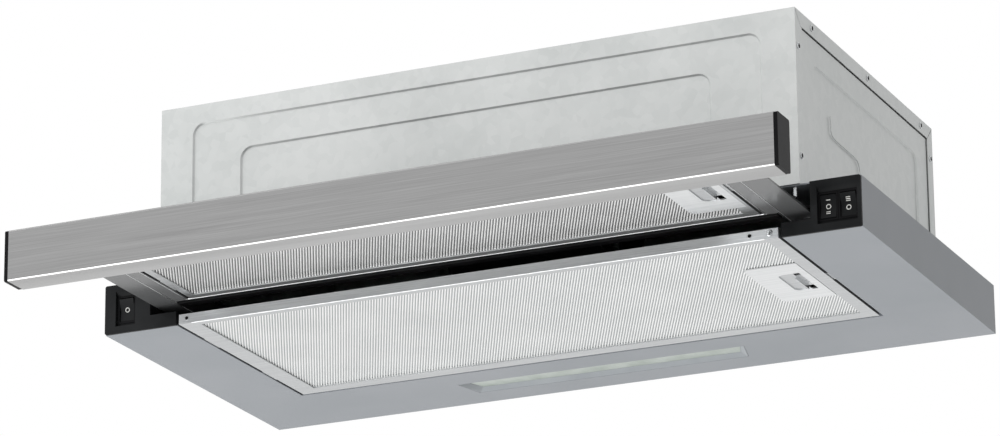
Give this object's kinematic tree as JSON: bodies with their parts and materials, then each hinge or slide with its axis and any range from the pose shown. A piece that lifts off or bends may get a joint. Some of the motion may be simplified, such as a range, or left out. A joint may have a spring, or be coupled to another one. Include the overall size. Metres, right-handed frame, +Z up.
{
  "type": "pull out range hood",
  "caption": "Pull out kitchen range hood for under a wall cabinet, with a sliding front drawer, grease filters, lamp, rocker switches, blower and duct outlet.",
  "frame": {"origin": "middle of the four cabinet screw holes, on the upper face of the base", "axes": "+X to the right of someone standing in front of the hood, +Y towards the wall, +Z up; the drawer is stored pulled right out towards -Y"},
  "size_m": [0.6, 0.4455, 0.2069],
  "materials": {
    "base_paint": "light grey stoved paint, satin",
    "galvanised": "galvanised sheet, faint spangle",
    "block_plastic": "near black moulded plastic, fine grain",
    "switch_black": "black moulded switch bodies",
    "rocker_plastic": "black rocker, satin gloss",
    "rail_nylon": "black nylon runners",
    "bracket_zinc": "zinc plated sheet",
    "fascia_steel": "lengthwise brushed stainless steel",
    "cap_plastic": "black moulded plastic",
    "pan_paint": "light grey painted sheet",
    "arm_paint": "grey painted folded steel, glossy",
    "filter_aluminium": "satin aluminium sheet",
    "filter_mesh": "expanded aluminium",
    "filter_padding": "knitted aluminium layers",
    "spring_steel": "bright spring steel",
    "lamp_plastic": "grey moulded plastic",
    "lens_plastic": "frosted lens",
    "circuit_board": "white board with yellow LEDs",
    "driver_plastic": "white moulded plastic",
    "scroll_plastic": "black moulded plastic",
    "wheel_plastic": "dark grey moulded plastic",
    "shaft_steel": "ground steel",
    "motor_steel": "zinc plated motor shell",
    "collar_plastic": "black moulded plastic",
    "flap_plastic": "dark moulded plastic",
    "capacitor_shell": "white moulded can",
    "terminal_plastic": "light grey moulded plastic"
  },
  "bodies": {
    "base": {"base_frame": "base_paint", "base_ring": "base_paint", "body_front_panel": "galvanised", "body_back_panel": "galvanised", "body_top_panel": "galvanised", "body_side_right": "galvanised", "body_side_left": "galvanised", "switch_block_right": "block_plastic", "switch_block_left": "block_plastic", "speed_switch": "switch_black", "boost_switch": "switch_black", "lamp_switch": "switch_black", "slide_rail_right": "rail_nylon", "slide_rail_left": "rail_nylon", "rail_bracket_right": "bracket_zinc", "rail_bracket_left": "bracket_zinc", "lamp_housing": "lamp_plastic", "lamp_lens": "lens_plastic", "led_board": "circuit_board", "led_driver": "driver_plastic", "scroll_right": "scroll_plastic", "scroll_left": "scroll_plastic", "motor": "motor_steel", "motor_bracket": "bracket_zinc", "outlet_collar": "collar_plastic", "damper_pin": "shaft_steel", "capacitor": "capacitor_shell", "terminal_box": "terminal_plastic", "cable_gland": "collar_plastic"},
    "drawer": {"fascia_panel": "fascia_steel", "fascia_cap_right": "cap_plastic", "fascia_cap_left": "cap_plastic", "fascia_back_plate": "bracket_zinc", "drawer_pan": "pan_paint", "drawer_arm_right": "arm_paint", "drawer_arm_left": "arm_paint", "slide_shoe_right": "rail_nylon", "slide_shoe_left": "rail_nylon", "drawer_rear_bar": "cap_plastic"},
    "base_filter": {"base_filter_frame": "filter_aluminium", "base_filter_mesh": "filter_mesh", "base_filter_padding": "filter_padding", "base_filter_latch_plate": "filter_aluminium", "base_filter_latch_spring": "spring_steel"},
    "base_latch": {"base_filter_latch": "spring_steel"},
    "drawer_filter": {"drawer_filter_frame": "filter_aluminium", "drawer_filter_mesh": "filter_mesh", "drawer_filter_padding": "filter_padding", "drawer_filter_latch_plate": "filter_aluminium", "drawer_filter_latch_spring": "spring_steel"},
    "drawer_latch": {"drawer_filter_latch": "spring_steel"},
    "speed_rocker": {"speed_rocker": "rocker_plastic"},
    "boost_rocker": {"boost_rocker": "rocker_plastic"},
    "lamp_rocker": {"lamp_rocker": "rocker_plastic"},
    "damper_front": {"damper_flap_front": "flap_plastic"},
    "damper_rear": {"damper_flap_rear": "flap_plastic"},
    "blower_wheel": {"impeller": "wheel_plastic", "rotor_shaft": "shaft_steel"}
  },
  "joints": [
    {"name": "drawer_slide", "type": "slide", "parent": "base", "child": "drawer", "axis": [0, 1, 0], "range_m": [0, 0.131]},
    {"name": "base_filter_tilt", "type": "hinge", "parent": "base", "child": "base_filter", "pos_m": [-0.239, -0.041, -0.0365], "axis": [0, -1, 0], "range_deg": [-75, 0]},
    {"name": "base_filter_latch", "type": "slide", "parent": "base_filter", "child": "base_latch", "axis": [1, 0, 0], "range_m": [-0.005, 0], "stiffness_N_per_m": 200, "springref_m": 0.008, "deforming": ["base_filter_latch_spring"]},
    {"name": "drawer_filter_tilt", "type": "hinge", "parent": "drawer", "child": "drawer_filter", "pos_m": [-0.2275, -0.20975, -0.0189], "axis": [0, -1, 0], "range_deg": [-75, 0]},
    {"name": "drawer_filter_latch", "type": "slide", "parent": "drawer_filter", "child": "drawer_latch", "axis": [1, 0, 0], "range_m": [-0.005, 0], "stiffness_N_per_m": 200, "springref_m": 0.008, "deforming": ["drawer_filter_latch_spring"]},
    {"name": "speed_rocker_turn", "type": "hinge", "parent": "base", "child": "speed_rocker", "pos_m": [0.2745, -0.139, -0.0195], "axis": [1, 0, 0], "range_deg": [-7, 7]},
    {"name": "boost_rocker_turn", "type": "hinge", "parent": "base", "child": "boost_rocker", "pos_m": [0.2895, -0.139, -0.0195], "axis": [1, 0, 0], "range_deg": [-14, 0]},
    {"name": "lamp_rocker_turn", "type": "hinge", "parent": "base", "child": "lamp_rocker", "pos_m": [-0.28275, -0.139, -0.0195], "axis": [1, 0, 0], "range_deg": [-14, 0]},
    {"name": "front_flap_lift", "type": "hinge", "parent": "base", "child": "damper_front", "pos_m": [0, 0.059, 0.1351], "axis": [-1, 0, 0], "range_deg": [0, 70]},
    {"name": "rear_flap_lift", "type": "hinge", "parent": "base", "child": "damper_rear", "pos_m": [0, 0.059, 0.1351], "axis": [1, 0, 0], "range_deg": [0, 70]},
    {"name": "blower_spin", "type": "hinge", "parent": "base", "child": "blower_wheel", "pos_m": [0, -0.026, 0.067], "axis": [1, 0, 0], "continuous": true}
  ]
}
